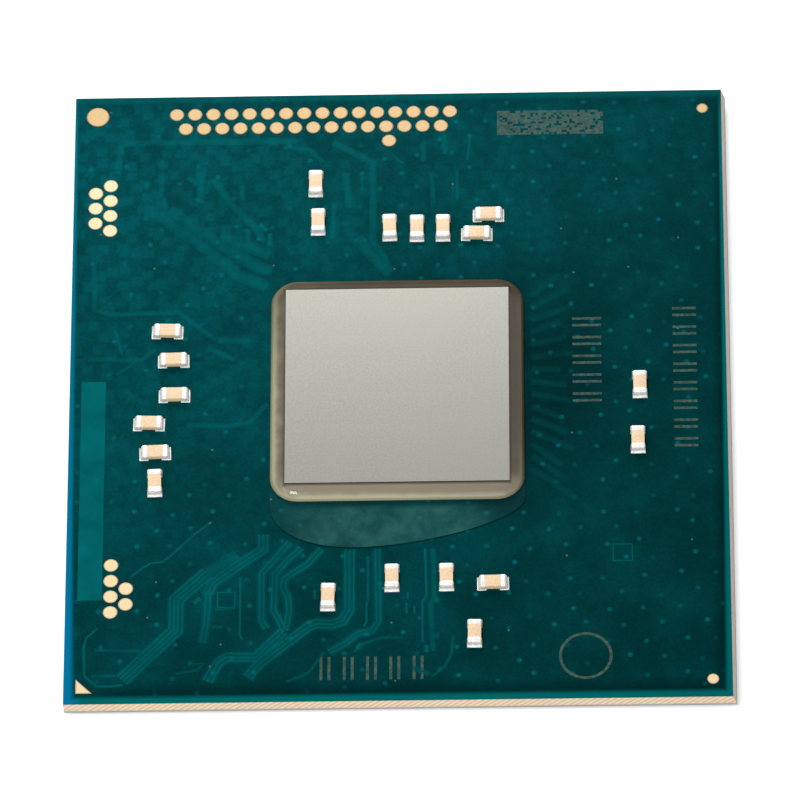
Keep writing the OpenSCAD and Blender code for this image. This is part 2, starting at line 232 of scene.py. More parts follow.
def mask_tone(add, points, with_vias=True):
    """Colour of the cured mask at each point. The ink is clearer over copper planes and
    deeper over bare laminate, a filled via shows as a soft dot, and the rim is brighter
    where the copper stops short of the saw cut. Painted light clears it towards the rear
    left corner, and painted shade darkens it beside the die and in a band just inside the rim."""
    colour, size = colours(), sizes()
    axes = add("SeparateXYZ", {"Vector": points}).outputs
    low, high = BOARD_LOW / MM, BOARD_HIGH / MM
    margin = size.margin / MM

    # Poured copper shows in large soft patches; painted light clears the mask towards the rear left
    # corner
    pour = add("TexNoise", {"Vector": points, "Scale": 0.38, "Detail": 3.0, "Roughness": 0.6})
    patches = add("MapRange", {"Value": pour, "From Min": 0.35, "From Max": 0.7, "To Max": 0.42},
                  **EASED)
    corner = add("Math", {0: axes["Y"], 1: axes["X"]}, operation="SUBTRACT")
    painted_light_lean = add("MapRange", {"Value": corner, "From Min": -16.0, "From Max": 26.0, "To Max": 0.7},
               **EASED)
    copper_and_painted_light = add("Math", {0: patches, 1: painted_light_lean}, operation="ADD")
    tone = add("Mix", {0: copper_and_painted_light, 6: colour.mask_deep, 7: colour.mask_clear}, **OF_COLOURS)

    # Painted shade darkens the mask round a spot just right of the die, and the ink's fine pigment
    # never lies even
    beside_die = (DIE_HIGH.x / MM, (DIE_LOW.y + DIE_HIGH.y) / 2 / MM, BOARD_TOP / MM)
    away = add("VectorMath", {0: points, 1: beside_die}, operation="DISTANCE")
    painted_die_shade = add("MapRange", {"Value": away, "From Min": 1.5, "From Max": 7.0, "To Min": 0.5,
                            "To Max": 1.0}, **EASED)
    pigment = add("TexNoise", {"Vector": points, "Scale": 11.0, "Detail": 1.0})
    grain = add("MapRange", {"Value": pigment, "From Min": 0.25, "From Max": 0.75, "To Min": 0.84,
                             "To Max": 1.16})
    shade = add("Math", {0: painted_die_shade, 1: grain}, operation="MULTIPLY")
    # Small copper squares of the next layer mottle the mask, most where the painted light clears it
    # towards the rear left
    squares = add("TexVoronoi", {"Vector": points, "Scale": 1.7}, distance="CHEBYCHEV",
                  voronoi_dimensions="2D")
    mottle = add("MapRange", {"Value": squares, "From Min": 0.2, "From Max": 0.5, "To Min": 0.24,
                              "To Max": -0.22}, **EASED)
    mottle = add("Math", {0: mottle, 1: painted_light_lean}, operation="MULTIPLY")
    shade = add("Math", {0: shade, 1: mottle}, operation="ADD")
    tone = add("Mix", {0: 1.0, 6: tone, 7: shade}, blend_type="MULTIPLY", **OF_COLOURS)

    if with_vias:
        lattice = add("Mapping", {"Vector": points, "Rotation": (0, 0, 0.75),
                                  "Scale": (MM / size.via_pitch,) * 3})
        cells = add("TexVoronoi", {"Vector": lattice, "Scale": 1.0, "Randomness": 0.4},
                    voronoi_dimensions="2D")
        dice = add("SeparateColor", {"Color": cells.outputs["Color"]}).outputs
        dot = add("MapRange", {"Value": cells, "From Min": 0.14, "From Max": 0.03}, **EASED)
        bare = add("MapRange", {"Value": axes["X"], "From Min": -2.0, "From Max": 4.0,
                                "To Min": 0.45, "To Max": 0.12})
        kept = add("Math", {0: dice["Red"], 1: bare}, operation="GREATER_THAN")
        glow = add("MapRange", {"Value": dice["Green"], "To Min": 0.2, "To Max": 0.8})
        dot = add("Math", {0: dot, 1: kept}, operation="MULTIPLY")
        dot = add("Math", {0: dot, 1: glow}, operation="MULTIPLY")
        tone = add("Mix", {0: dot, 6: tone, 7: colour.mask_via}, **OF_COLOURS)

    # A few grains of dust are baked into the skin
    dust = add("TexVoronoi", {"Vector": points, "Scale": 0.45}, voronoi_dimensions="2D")
    luck = add("SeparateColor", {"Color": dust.outputs["Color"]})
    luck = add("Math", {0: luck, 1: 0.7}, operation="GREATER_THAN")
    speck = add("MapRange", {"Value": dust, "From Min": 0.024, "From Max": 0.006, "To Max": 0.4},
                **EASED)
    speck = add("Math", {0: speck, 1: luck}, operation="MULTIPLY")
    tone = add("Mix", {0: speck, 6: tone, 7: (0.25, 0.35, 0.35)}, **OF_COLOURS)

    # Distance from the nearest edge; at the left and right the rim narrows to the back
    sides = insets(add, axes, low, high)
    for number, front in enumerate((0.75, 1.1)):
        narrow = add("MapRange", {"Value": axes["Y"], "From Min": low.y, "From Max": high.y,
                                  "To Min": front, "To Max": 2.4})
        sides[number] = add("Math", {0: sides[number], 1: narrow}, operation="MULTIPLY")
    inset = add("Math", {0: sides[0], 1: sides[1]}, operation="MINIMUM")
    for side in sides[2:]:
        inset = add("Math", {0: inset, 1: side}, operation="MINIMUM")
    # Painted shade: a dark band just inside the rim, weaker near the rear edge and at the left side
    dark = add("MapRange", {"Value": inset, "From Min": margin + 0.7, "From Max": margin,
                            "To Max": 0.62}, **EASED)
    lit_top = add("MapRange", {"Value": sides[3], "From Min": 0.3, "From Max": 1.4, "To Min": 0.4,
                               "To Max": 1.0}, **EASED)
    off_left = add("MapRange", {"Value": sides[0], "From Min": 0.5, "From Max": 1.5, "To Min": 0.15,
                                "To Max": 1.0}, **EASED)
    dark = add("Math", {0: dark, 1: lit_top}, operation="MULTIPLY")
    dark = add("Math", {0: dark, 1: off_left}, operation="MULTIPLY")
    tone = add("Mix", {0: dark, 6: tone, 7: [c * 0.35 for c in colour.mask_deep]}, **OF_COLOURS)
    rim = add("MapRange", {"Value": inset, "From Min": margin + 0.05, "From Max": margin - 0.2},
              **EASED)
    rim = add("Math", {0: rim, 1: lit_top}, operation="MULTIPLY")
    at_left = add("MapRange", {"Value": sides[0], "From Min": 0.6, "From Max": 0.1}, **EASED)
    at_front = add("MapRange", {"Value": axes["Y"], "From Min": -12.0, "From Max": 13.0,
                                "To Min": 1.0, "To Max": 0.25})
    at_left = add("Math", {0: at_left, 1: at_front}, operation="MULTIPLY")
    rim_tone = add("Mix", {0: at_left, 6: colour.mask_margin, 7: colour.mask_edge}, **OF_COLOURS)
    return add("Mix", {0: rim, 6: tone, 7: rim_tone}, **OF_COLOURS)


# The sheen that all faces of the cured ink share
INK = {"Roughness": 0.42, "IOR": 1.5, "Specular_IOR_Level": 0.025, "Specular_Tint": (0, 0.7, 0.7, 1)}


def solder_mask_material(name, with_vias):
    """Solder mask: screened, dried and cured epoxy ink, a deep clear teal with a low
    sheen and a skin that is almost smooth."""
    material, add, shader, points = new_material(name)
    skin = add("TexNoise", {"Vector": points, "Scale": 4.5, "Detail": 3.0})
    finish(add, shader, mask_tone(add, points, with_vias), skin, 0.12, 0.006, **INK)
    return material


def trace_material(name, tint, rise, strength):
    """Solder mask over a trace: the same ink, stretched thin over etched copper, so it
    clears towards the trace's crest and melts into the mask at its foot."""
    material, add, shader, points = new_material(name)
    height = add("SeparateXYZ", {"Vector": points}).outputs["Z"]
    floor = BOARD_TOP / MM
    crest = add("MapRange", {"Value": height, "From Min": floor, "From Max": floor + rise / MM,
                             "To Max": strength}, **EASED)
    cloud = add("TexNoise", {"Vector": points, "Scale": 0.8, "Detail": 2.0})
    even = add("MapRange", {"Value": cloud, "From Min": 0.3, "From Max": 0.7, "To Min": 0.5,
                            "To Max": 1.0})
    clear = add("Math", {0: crest, 1: even}, operation="MULTIPLY")
    tone = add("Mix", {0: clear, 6: mask_tone(add, points), 7: tint}, **OF_COLOURS)
    finish(add, shader, tone, **INK)
    return material


def laser_material():
    """Laser mark: the ink's skin is burnt off dot by dot, which leaves a faint matt grey
    through which some of the ink still shows."""
    material, add, shader, points = new_material("laser_etched_mask")
    dots = add("TexNoise", {"Vector": points, "Scale": 9.0, "Detail": 2.0})
    burnt = add("MapRange", {"Value": dots, "From Min": 0.3, "From Max": 0.7, "To Min": 0.35,
                             "To Max": 0.95}, **EASED)
    tone = add("Mix", {0: burnt, 6: mask_tone(add, points), 7: colours().laser}, **OF_COLOURS)
    finish(add, shader, tone, Roughness=0.75, Specular_IOR_Level=0.1)
    return material


def laminate_material():
    """Build-up laminate, glass cloth in epoxy cut by a dicing saw: pale tan with slanted
    saw marks and cut fibres, and a greyer resin skin along the lower edge. The two short
    sides are painted greyer, darker and more even, as painted shade."""
    colour, size = colours(), sizes()
    material, add, shader, points = new_material("sawn_glass_epoxy")
    height = add("SeparateXYZ", {"Vector": points}).outputs["Z"]
    low = LAMINATE_LOW.z / MM
    slanted = add("Mapping", {"Vector": points, "Scale": (-1, 1, 1)})
    # At scale 1 the wave node repeats ten times in a turn's length
    marks = add("TexWave", {"Vector": slanted, "Scale": math.tau / 10 * MM / size.fibre_pitch,
                            "Distortion": 1.2, "Detail": 2.0, "Detail Scale": 3.0},
                bands_direction="DIAGONAL")
    tone = blend(add, marks.outputs["Fac"], 0.1, 0.9, colour.laminate, colour.laminate_fibre,
                 0.75, **EASED)
    glass = add("TexNoise", {"Vector": points, "Scale": 16.0, "Detail": 2.0})
    pale = [min(1, c * 1.25) for c in colour.laminate]
    tone = blend(add, glass, 0.58, 0.7, tone, pale, 0.35, **EASED)
    # Painted shade: the two short sides get a greyer, darker copy of the laminate colour
    normal = add("NewGeometry").outputs["Normal"]
    sideways = add("SeparateXYZ", {"Vector": normal}).outputs["X"]
    sideways = add("Math", {0: sideways}, operation="ABSOLUTE")
    tone = blend(add, sideways, 0.4, 0.7, tone, colour.laminate_side_painted_shade, 0.85)
    tone = blend(add, height, low + 0.12, low + 0.06, tone, colour.laminate_skin, **EASED)
    finish(add, shader, tone, marks.outputs["Fac"], 0.3, 0.02, Roughness=0.72, Specular_IOR_Level=0.3)
    return material


def silicon_material():
    """Silicon, thinned by a grinding wheel and stress-relieved: a pale satin grey metal
    look with a fine even grain and very faint arcs of the wheel, and dark sawn walls."""
    colour = colours()
    material, add, shader, points = new_material("ground_silicon")
    grit = add("TexNoise", {"Vector": points, "Scale": 13.0, "Detail": 2.0, "Roughness": 0.6})
    tone = blend(add, grit, 0.3, 0.7, colour.silicon, [c * 0.8 for c in colour.silicon])
    cloud = add("TexNoise", {"Vector": points, "Scale": 0.3, "Detail": 1.0})
    tone = blend(add, cloud, 0.3, 0.7, tone, [c * 0.92 for c in colour.silicon], 0.5)
    normal = add("NewGeometry").outputs["Normal"]
    upright = add("SeparateXYZ", {"Vector": normal}).outputs["Z"]
    tone = blend(add, upright, 0.6, 0.3, tone, colour.silicon_side)
    wheel = add("Mapping", {"Vector": points, "Location": (18, -9, 0)})
    arcs = add("TexWave", {"Vector": wheel, "Scale": 5.0, "Distortion": 0.4}, wave_type="RINGS",
               rings_direction="Z")
    faint = add("Math", {0: arcs.outputs["Fac"], 1: 0.3}, operation="MULTIPLY")
    relief = add("Math", {0: faint, 1: grit}, operation="ADD")
    finish(add, shader, tone, relief, 0.05, 0.004, Metallic=0.9, Roughness=0.33)
    return material


def underfill_material():
    """Underfill, silica-filled epoxy drawn in by capillary action and cured: brown where
    it stands thick against the die, paler where it feathers out, and a thin cloudy veil
    over the mask in front. Painted light makes it lighter at the left and in front, and
    painted shade darkens it along the die's wall and at its foot. Its skin is glossy and
    a little uneven, so a small lamp breaks into glints on it."""
    colour = colours()
    material, add, shader, points = new_material("cured_underfill_epoxy")
    axes = add("SeparateXYZ", {"Vector": points}).outputs
    floor, top = BOARD_TOP / MM, BEAD_HIGH.z / MM
    die_low, die_high = DIE_LOW / MM, DIE_HIGH / MM
    bead_low, bead_high = BEAD_LOW / MM, BEAD_HIGH / MM

    # Brown beside the die; painted light makes it lighter, more grey and rosy in front
    cloud = add("TexNoise", {"Vector": points, "Scale": 1.6, "Detail": 3.0})
    drift = add("MapRange", {"Value": cloud, "From Min": 0.3, "From Max": 0.7, "To Min": -0.02,
                             "To Max": 0.02})
    in_front = add("MapRange", {"Value": axes["Y"], "From Min": die_low.y + 0.5,
                                "From Max": die_low.y - 0.1}, **EASED)
    thick = add("Mix", {0: in_front, 6: colour.epoxy_thick, 7: colour.epoxy_front_painted_lit}, **OF_COLOURS)
    lifted = add("MapRange", {"Value": in_front, "To Max": 0.07})
    height = add("Math", {0: axes["Z"], 1: drift}, operation="ADD")
    height = add("Math", {0: height, 1: lifted}, operation="ADD")
    # Painted light: the pale thin-edge colour takes a larger share at the left and in front, and less
    # at the right and rear
    across = add("Math", {0: axes["X"], 1: axes["Y"]}, operation="ADD")
    painted_light_by_side = add("MapRange", {"Value": across, "From Min": -6.0, "From Max": 3.5, "To Min": 1.0,
                               "To Max": 0.08}, **EASED)
    edge = add("Mix", {0: painted_light_by_side, 6: thick, 7: colour.epoxy_thin}, **OF_COLOURS)
    tone = blend(add, height, top - 0.12, top + 0.01, edge, thick, 0.8, **EASED)

    # Painted shade: a dark line in the crease where the epoxy meets the die's wall
    sides = insets(add, axes, die_low, die_high)
    inset = sides[0]
    for side in sides[1:]:
        inset = add("Math", {0: inset, 1: side}, operation="MINIMUM")
    tone = blend(add, inset, -0.13, -0.03, tone, [c * 0.3 for c in colour.epoxy_thick], 0.6, **EASED)

    # The film clears towards the bead's foot and towards both of its ends
    smoke = add("TexNoise", {"Vector": points, "Scale": 1.1, "Detail": 5.0, "Roughness": 0.62})
    veil = add("MapRange", {"Value": smoke, "From Min": 0.33, "From Max": 0.66, "To Min": 0.25,
                            "To Max": 0.9}, **EASED)
    foot = die_low.y - BEAD_WIDTH / MM
    fades = [
        add("MapRange", {"Value": axes["Y"], "From Min": foot - 0.4, "From Max": foot - 0.1,
                         "To Min": 1.0, "To Max": 0.1}, **EASED),
        add("MapRange", {"Value": axes["X"], "From Min": bead_low.x,
                         "From Max": bead_low.x + 2.4}, **EASED),
        add("MapRange", {"Value": axes["X"], "From Min": bead_high.x - 0.8,
                         "From Max": bead_high.x - 2.6}, **EASED),
    ]
    for fade in fades:
        veil = add("Math", {0: veil, 1: fade}, operation="MULTIPLY")
    film = add("Mix", {0: veil, 6: mask_tone(add, points), 7: colour.epoxy_film}, **OF_COLOURS)
    on_film = add("MapRange", {"Value": axes["Z"], "From Min": floor + 0.12,
                               "From Max": floor + 0.06}, **EASED)
    tone = add("Mix", {0: on_film, 6: tone, 7: film}, **OF_COLOURS)
    # Painted shade: the lowest part of the epoxy, the film's edge wall and the bead's foot on the
    # mask, is painted dark
    dark = [c * 0.5 for c in colour.mask_deep]
    tone = blend(add, axes["Z"], floor + 0.036, floor + 0.03, tone, dark)

    # The skin is dull on the film and behind the die
    gloss = add("MapRange", {"Value": axes["Y"], "From Min": die_high.y - 0.8,
                             "From Max": die_high.y, "To Min": 0.75, "To Max": 0.08}, **EASED)
    gloss = add("Mix", {0: on_film, 2: gloss, 3: 0.03})
    swell = add("TexNoise", {"Vector": points, "Scale": 1.0, "Detail": 1.0})
    finish(add, shader, tone, swell, 0.25, 0.05, Roughness=0.45, IOR=1.5,
           Specular_IOR_Level=0.02, Coat_Weight=gloss, Coat_Roughness=0.12)
    return material


def gold_material(name, colour):
    """Immersion gold: a thin gold layer over nickel on etched copper. It keeps the
    copper's micro-grain, so it is pale and satin, not mirror bright."""
    material, add, shader, points = new_material(name)
    etch = add("TexNoise", {"Vector": points, "Scale": 14.0, "Detail": 2.0})
    tone = blend(add, etch, 0.3, 0.7, colour, [c * 0.88 for c in colour])
    # Painted light: the pads away from the rear edge are painted paler, as if lit more
    axes = add("SeparateXYZ", {"Vector": points}).outputs
    painted_lit_gold = [c * 1.3 + 0.15 for c in colour]
    tone = blend(add, axes["Y"], 11.0, 9.8, tone, painted_lit_gold, 0.8, **EASED)
    finish(add, shader, tone, etch, 0.2, 0.004, Metallic=0.2, Roughness=0.5)
    return material


def tin_material(name, roughness):
    """Matt tin and reflowed solder: a bright white metal with soft grain boundaries."""
    material, add, shader, points = new_material(name)
    tin = colours().tin
    grains = add("TexVoronoi", {"Vector": points, "Scale": 12.0})
    tone = blend(add, grains, 0.2, 0.8, tin, [c * 0.82 for c in tin])
    finish(add, shader, tone, grains, 0.15, 0.008, Metallic=0.25, Roughness=roughness)
    return material


def ceramic_material():
    """Barium titanate ceramic, tape cast, stacked and fired: warm peach, nearly matt,
    with a fine fired speckle."""
    material, add, shader, points = new_material("fired_dielectric_ceramic")
    ceramic = colours().ceramic
    speckle = add("TexNoise", {"Vector": points, "Scale": 16.0, "Detail": 3.0, "Roughness": 0.6})
    tone = blend(add, speckle, 0.35, 0.7, ceramic, [c * 0.84 for c in ceramic], **EASED)
    finish(add, shader, tone, speckle, 0.2, 0.004, Roughness=0.5, Specular_IOR_Level=0.4)
    return material


# ---------------------------------------------------------------- modelling helpers

def edit_all():
    """Edit the active piece with all of it selected."""
    bpy.ops.object.mode_set(mode="EDIT")
    bpy.ops.mesh.select_all(action="SELECT")


def close_up():
    """Turn every face of the edited piece outwards and leave edit mode."""
    bpy.ops.mesh.select_all(action="SELECT")
    bpy.ops.mesh.normals_make_consistent(inside=False)
    bpy.ops.object.mode_set(mode="OBJECT")


def start_primitive(make, **settings):
    """Add one primitive with nothing else selected, its size and place in its mesh."""
    bpy.ops.object.select_all(action="DESELECT")
    make(**settings)
    bpy.ops.object.transform_apply(location=True, rotation=True, scale=True)
    return bpy.context.object


def make_active(piece):
    """Select one piece and nothing else."""
    bpy.ops.object.select_all(action="DESELECT")
    piece.select_set(True)
    bpy.context.view_layer.objects.active = piece


def pick(piece, test):
    """In edit mode, select only the faces whose centre and normal pass the test."""
    bpy.ops.object.mode_set(mode="OBJECT")
    mesh = piece.data
    for item in (*mesh.vertices, *mesh.edges):
        item.select = False
    for face in mesh.polygons:
        face.select = test(face.center, face.normal)
    bpy.ops.object.mode_set(mode="EDIT")
    bpy.ops.mesh.select_mode(type="FACE")


def seat(piece, name, material):
    """Name a finished piece, give it its finish, and let it ride on the package."""
    make_active(piece)
    piece.name = name
    piece.data.name = name
    piece.data.materials.clear()
    piece.data.materials.append(material)
    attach(piece, "root")
    return piece


def copy_of(piece, matrix=None):
    """A copy with its own mesh, whose place is in the mesh."""
    twin = piece.copy()
    twin.data = piece.data.copy()
    bpy.context.collection.objects.link(twin)
    twin.data.transform(matrix or piece.matrix_world)
    twin.parent = None
    twin.matrix_world = Matrix()
    return twin


def block(middle, spans):
    """Block along the axes, round its middle"""
    return start_primitive(bpy.ops.mesh.primitive_cube_add, size=1, location=middle, scale=spans)


def round_edges(offset, segments):
    """Bevel every edge of the active piece."""
    edit_all()
    bpy.ops.mesh.bevel(offset=offset, segments=segments)
    bpy.ops.object.mode_set(mode="OBJECT")


def join(pieces):
    """Join pieces into the first of them."""
    bpy.ops.object.select_all(action="DESELECT")
    for piece in pieces:
        piece.select_set(True)
    bpy.context.view_layer.objects.active = pieces[0]
    bpy.ops.object.join()
    return pieces[0]


# ---------------------------------------------------------------- copper under the mask

def shift_line(points, offset):
    """Polyline moved sideways by offset, with mitred corners."""
    moved = []
    for index, point in enumerate(points):
        before = points[max(index - 1, 0)]
        after = points[min(index + 1, len(points) - 1)]
        ends = [Vector(b) - Vector(a) for a, b in ((before, point), (point, after)) if a != b]
        normals = [Vector((-d.y, d.x)).normalized() for d in ends]
        side = sum(normals, Vector((0, 0))).normalized()
        moved.append(Vector(point) + side * offset / max(0.3, side.dot(normals[0])))
    return moved


def sharp_routes():
    """Traces of the top copper layer, in millimetres, with the number that runs in
    parallel. Most run out from under the die's front edge and bend by about 45 degrees."""
    return [
        # out to the test pads and round the pin one corner
        ([(-7.1, -5.65), (-7.8, -6.25), (-8.55, -7.05), (-8.95, -7.4), (-9.4, -7.45),
          (-9.75, -7.7), (-10.15, -8.05)], 1),
        ([(-11.35, -10.25), (-11.75, -10.65), (-11.85, -11.1), (-11.8, -12.3),
          (-11.35, -12.75), (-10.75, -12.75), (-10.35, -12.7)], 1),
        ([(-7.25, -7.9), (-8.4, -9.05), (-8.4, -10.35), (-10.4, -12.5)], 4),
        ([(-5.15, -6.25), (-5.15, -6.9), (-6.1, -7.6), (-7.05, -8.35),
          (-7.25, -8.85)], 3),
        ([(-7.2, -8.7), (-7.25, -9.95), (-7.4, -10.95)], 2),
        ([(-6, -8.1), (-6, -10.6), (-5.9, -10.8)], 1),
        # fans of two and three in front of the die
        ([(-4.15, -6.6), (-4.6, -7.2), (-5.2, -7.95), (-5.2, -10), (-5, -10.35)], 2),
        ([(-3.7, -6.85), (-4.2, -7.35), (-4.7, -8), (-4.75, -9.55), (-4.5, -10.05),
          (-4.35, -10.45)], 2),
        ([(-2.95, -6.9), (-3.5, -7.6), (-3.9, -7.85), (-4.35, -8.2), (-4.4, -8.55),
          (-4.2, -9), (-4.15, -9.55), (-4.3, -10.45)], 2),
        ([(-4.35, -10.45), (-5.4, -11.6), (-6.45, -11.55), (-6.8, -11.8),
          (-7.2, -12.6)], 3),
        ([(-1.9, -6.95), (-1.9, -9.6), (-2.15, -10.05), (-2.55, -10.2), (-3.1, -10.15),
          (-3.45, -10.3), (-5.25, -11.85), (-5.7, -12.45)], 3),
        ([(-0.85, -6.95), (-0.8, -10.1), (-1.05, -10.5), (-1.55, -10.6), (-2, -11),
          (-2.65, -11.4)], 2),
        ([(-1.25, -9.25), (-1.25, -10.1), (-1.35, -10.3)], 1),
        ([(0.3, -8.85), (0.3, -9.15)], 1),
        ([(0.25, -9.3), (0.25, -9.75)], 1),
        ([(0.55, -9.45), (0.55, -9.8)], 1),
        ([(0.95, -6.95), (1, -9), (0.85, -9.25), (0.85, -11)], 1),
        ([(1.95, -11.1), (1.95, -11.45)], 1),
        ([(-3.2, -8.7), (-3.2, -9.1)], 1),
    ]


def copper_tabs():
    """Short wide tabs where traces meet, in millimetres"""
    return [[(-7.75, -9.2), (-7.5, -9.0)], [(-6.5, -11.55), (-6.9, -11.85)],
            [(1, -11.15), (1, -11.45)], [(-1.45, -11.05), (-1.6, -11.25)],
            [(-5.4, 7.6), (-5.1, 7.3)], [(-5, 7.2), (-5, 6.6)]]


def soft_routes():
    """Copper of the layers below, in millimetres, by the width at which it shows"""
    return {
        0.16: [
            [(-11.45, -11.2), (-9.6, -11.25)], [(-11.55, -12.3), (-10.6, -12.3)],
            [(-6.2, -8.85), (-6.2, -9.45), (-6.95, -9.5)],
            [(-7.05, -10.25), (-6.65, -10.25)], [(-1.2, -7.25), (-1.2, -9.25)],
            [(-7.95, -11.85), (-7.3, -11.8), (-7.6, -12.1), (-8.4, -12.25)],
            [(-2.85, -11.4), (-3.25, -12.05), (-3.45, -12.3), (-4.25, -12.65)],
            [(0.1, -10.8), (-0.7, -10.8), (-1.5, -11.1), (-1.7, -11.4)],
            [(2, -10.75), (1.95, -11.45), (1.7, -12.05), (1.2, -12.5)],
            [(2.2, 10), (2.2, 8.6)], [(2.7, 11.5), (2.6, 10.4)],
            [(-0.3, 10.7), (0.1, 10.3)], [(-1.5, 9.9), (-1.45, 9.1)],
            [(-10.1, 1.45), (-10.8, 0.9)], [(-10.6, 1.8), (-10.9, 2.9)],
        ],
        0.28: [
            [(-9.2, 10.6), (-9.2, 9), (-9, 8.4)], [(-8.2, 9.8), (-7.6, 9.3)],
            [(-6.1, 9.4), (-6.05, 8.7)], [(-5.85, 7.4), (-5.85, 6.8)],
            [(-4.5, 11.1), (-3.5, 11), (-3, 10.4)], [(-2.55, 8.5), (-2.6, 6.9)],
            [(0.9, 11.3), (0.9, 10.4)], [(1.7, 11.6), (1.75, 10.7)],
            [(1.2, 9.9), (1.3, 8.3)], [(0.45, -12.1), (1.1, -12.4)],
            [(-5.75, 2.35), (-7.05, 2.4), (-8.45, 3.65), (-11.1, 3.6), (-11.7, 3.8),
             (-11.75, 6)],
            [(-8.1, -1.4), (-6.45, -1.45), (-5.7, -1.3), (-5.05, -0.45)],
            [(-9.35, 2), (-9.85, 1.55), (-11.9, 1.6)], [(-6.3, 1.5), (-7.35, 2.05)],
            [(1.25, -6.95), (1.3, -9.1), (1.15, -9.35), (1.25, -11.4)],
        ],
        0.38: [
            [(-10.9, 10), (-10.8, 11.3), (-10.4, 11.4), (-4, 11.4)],
            [(-7.7, 10), (-7.7, 8.6)],
            [(-7.2, 9.7), (-6.4, 8.4), (-5.6, 7.5), (-5.2, 6.8)],
            [(-2.6, 11.3), (-1.6, 10.7), (-1.05, 10.4), (-1.05, 6.8), (-0.6, 6),
             (-0.5, 5.2)],
            [(-2.1, 9.9), (-1.95, 8.3)],
        ],
        0.62: [
            [(-10.1, 8.4), (-9.3, 8.1), (-7.9, 6.9), (-6.2, 5.3), (-5.1, 4.75)],
            [(-8.9, 8.3), (-7.2, 6.9), (-5.4, 5.6), (-4.9, 5.5)],
            [(-6.9, 7.1), (-5, 6.2)], [(-1.7, 6.9), (-0.7, 5.7), (-0.4, 5.3)],
            [(-6.1, -7.15), (-7.25, -7.9), (-7.9, -8.5)],
        ],
    }


def fan_strokes():
    """Soft strokes of copper, in millimetres, that fan out from the die's right side"""
    strokes = []
    for k in range(15):
        y = 4.2 - 0.55 * k
        slant = 0.95 - 0.16 * k
        strokes.append([(5, y), (6.1 + 0.25 * (k % 3), y + slant)])
    return strokes


def ridges(lines, width, rise):
    """Low closed ridges along the lines, on the mask's face: round rods, flattened and
    sunk by half, so that each swells out of the mask without an edge."""
    radius = width / 2 / math.cos(math.radians(30))
    curve = bpy.data.curves.new("ridges", "CURVE")
    curve.dimensions = "3D"
    curve.bevel_depth = radius
    curve.bevel_resolution = 2
    curve.use_fill_caps = True
    for line in lines:
        spline = curve.splines.new("POLY")
        spline.points.add(len(line) - 1)
        for point, place in zip(spline.points, line):
            point.co = (place[0] * MM, place[1] * MM, 0, 1)
    piece = bpy.data.objects.new("ridges", curve)
    bpy.context.collection.objects.link(piece)
    make_active(piece)
    bpy.ops.object.convert(target="MESH")
    edit_all()
    bpy.ops.transform.resize(value=(1, 1, 2 * rise / radius), center_override=(0, 0, 0))
    bpy.ops.transform.translate(value=(0, 0, BOARD_TOP - rise))
    close_up()
    bpy.ops.object.shade_smooth()
    return piece


def square_line(x, y, side):
    """Outline of a square from its lower left corner, as one closed run of points"""
    return [(x, y), (x + side, y), (x + side, y + side), (x, y + side), (x, y)]


def plate(low, high, rise):
    """Thin plate on the mask between two corners, with softened top edges."""
    middle = (Vector(low) + Vector(high)) / 2 * MM
    span = (Vector(high) - Vector(low)) * MM
    piece = block((middle.x, middle.y, BOARD_TOP), (span.x, span.y, 2 * rise))
    pick(piece, lambda centre, normal: normal.z > 0.9)
    bpy.ops.mesh.bevel(offset=rise, segments=1)
    bpy.ops.object.mode_set(mode="OBJECT")
    return piece


# ---------------------------------------------------------------- operators

class PackageOperator:
    """What all of the package's operators share"""
    bl_options = {"REGISTER", "UNDO"}


class PACKAGE_OT_board(PackageOperator, bpy.types.Operator):
    """Finish the laminate and both solder masks"""
    bl_idname = "package.board"
    bl_label = "Board"

    def execute(self, context):
        wear("substrate", laminate_material())
        wear("solder_mask_top", solder_mask_material("solder_mask_top_ink", True))
        wear("solder_mask_bottom", solder_mask_material("solder_mask_bottom_ink", False))
        return {"FINISHED"}


class PACKAGE_OT_copper(PackageOperator, bpy.types.Operator):
    """Lay the copper that shows through the top mask"""
    bl_idname = "package.copper"
    bl_label = "Copper under the mask"

    def execute(self, context):
        size, colour = sizes(), colours()
        width, rise = size.trace_width, size.trace_rise
        pitch = size.trace_pitch / MM
        lines = [shift_line(points, (k - (count - 1) / 2) * pitch)
                 for points, count in sharp_routes() for k in range(count)]
        squares = [square_line(8.02, -7.59, 0.72), square_line(-6.85, -9.4, 0.65)]
        sharp = trace_material("mask_over_trace", colour.mask_trace, rise, 0.72)
        seat(ridges(lines, width, rise), "covered_traces", sharp)
        seat(ridges(copper_tabs(), 2 * width, rise), "covered_tabs", sharp)
        seat(ridges(squares, 0.7 * width, rise), "covered_outlines", sharp)

        bed = trace_material("mask_over_trace_bed", colour.mask_trace, rise / 2, 0.34)
        for several in (2, 3, 4):
            group = [points for points, count in sharp_routes() if count == several]
            bed_width = (several - 1) * size.trace_pitch + 3 * width
            seat(ridges(group, bed_width, rise / 2), f"trace_bed_{several}", bed)
        deep = trace_material("mask_over_deep_copper", colour.mask_trace, rise / 2, 0.42)
        for shown, group in soft_routes().items():
            seat(ridges(group, shown * MM, rise / 2), f"deep_copper_{shown:.2f}", deep)
        faint = trace_material("mask_over_fan", colour.mask_trace, rise / 4, 0.16)
        seat(ridges(fan_strokes(), 3 * width, rise / 4), "trace_fan", faint)

        strip = trace_material("mask_over_strip", colour.mask_strip, rise, 1.0)
        seat(plate(STRIP_LOW, STRIP_HIGH, rise), "marking_strip", strip)
        return {"FINISHED"}


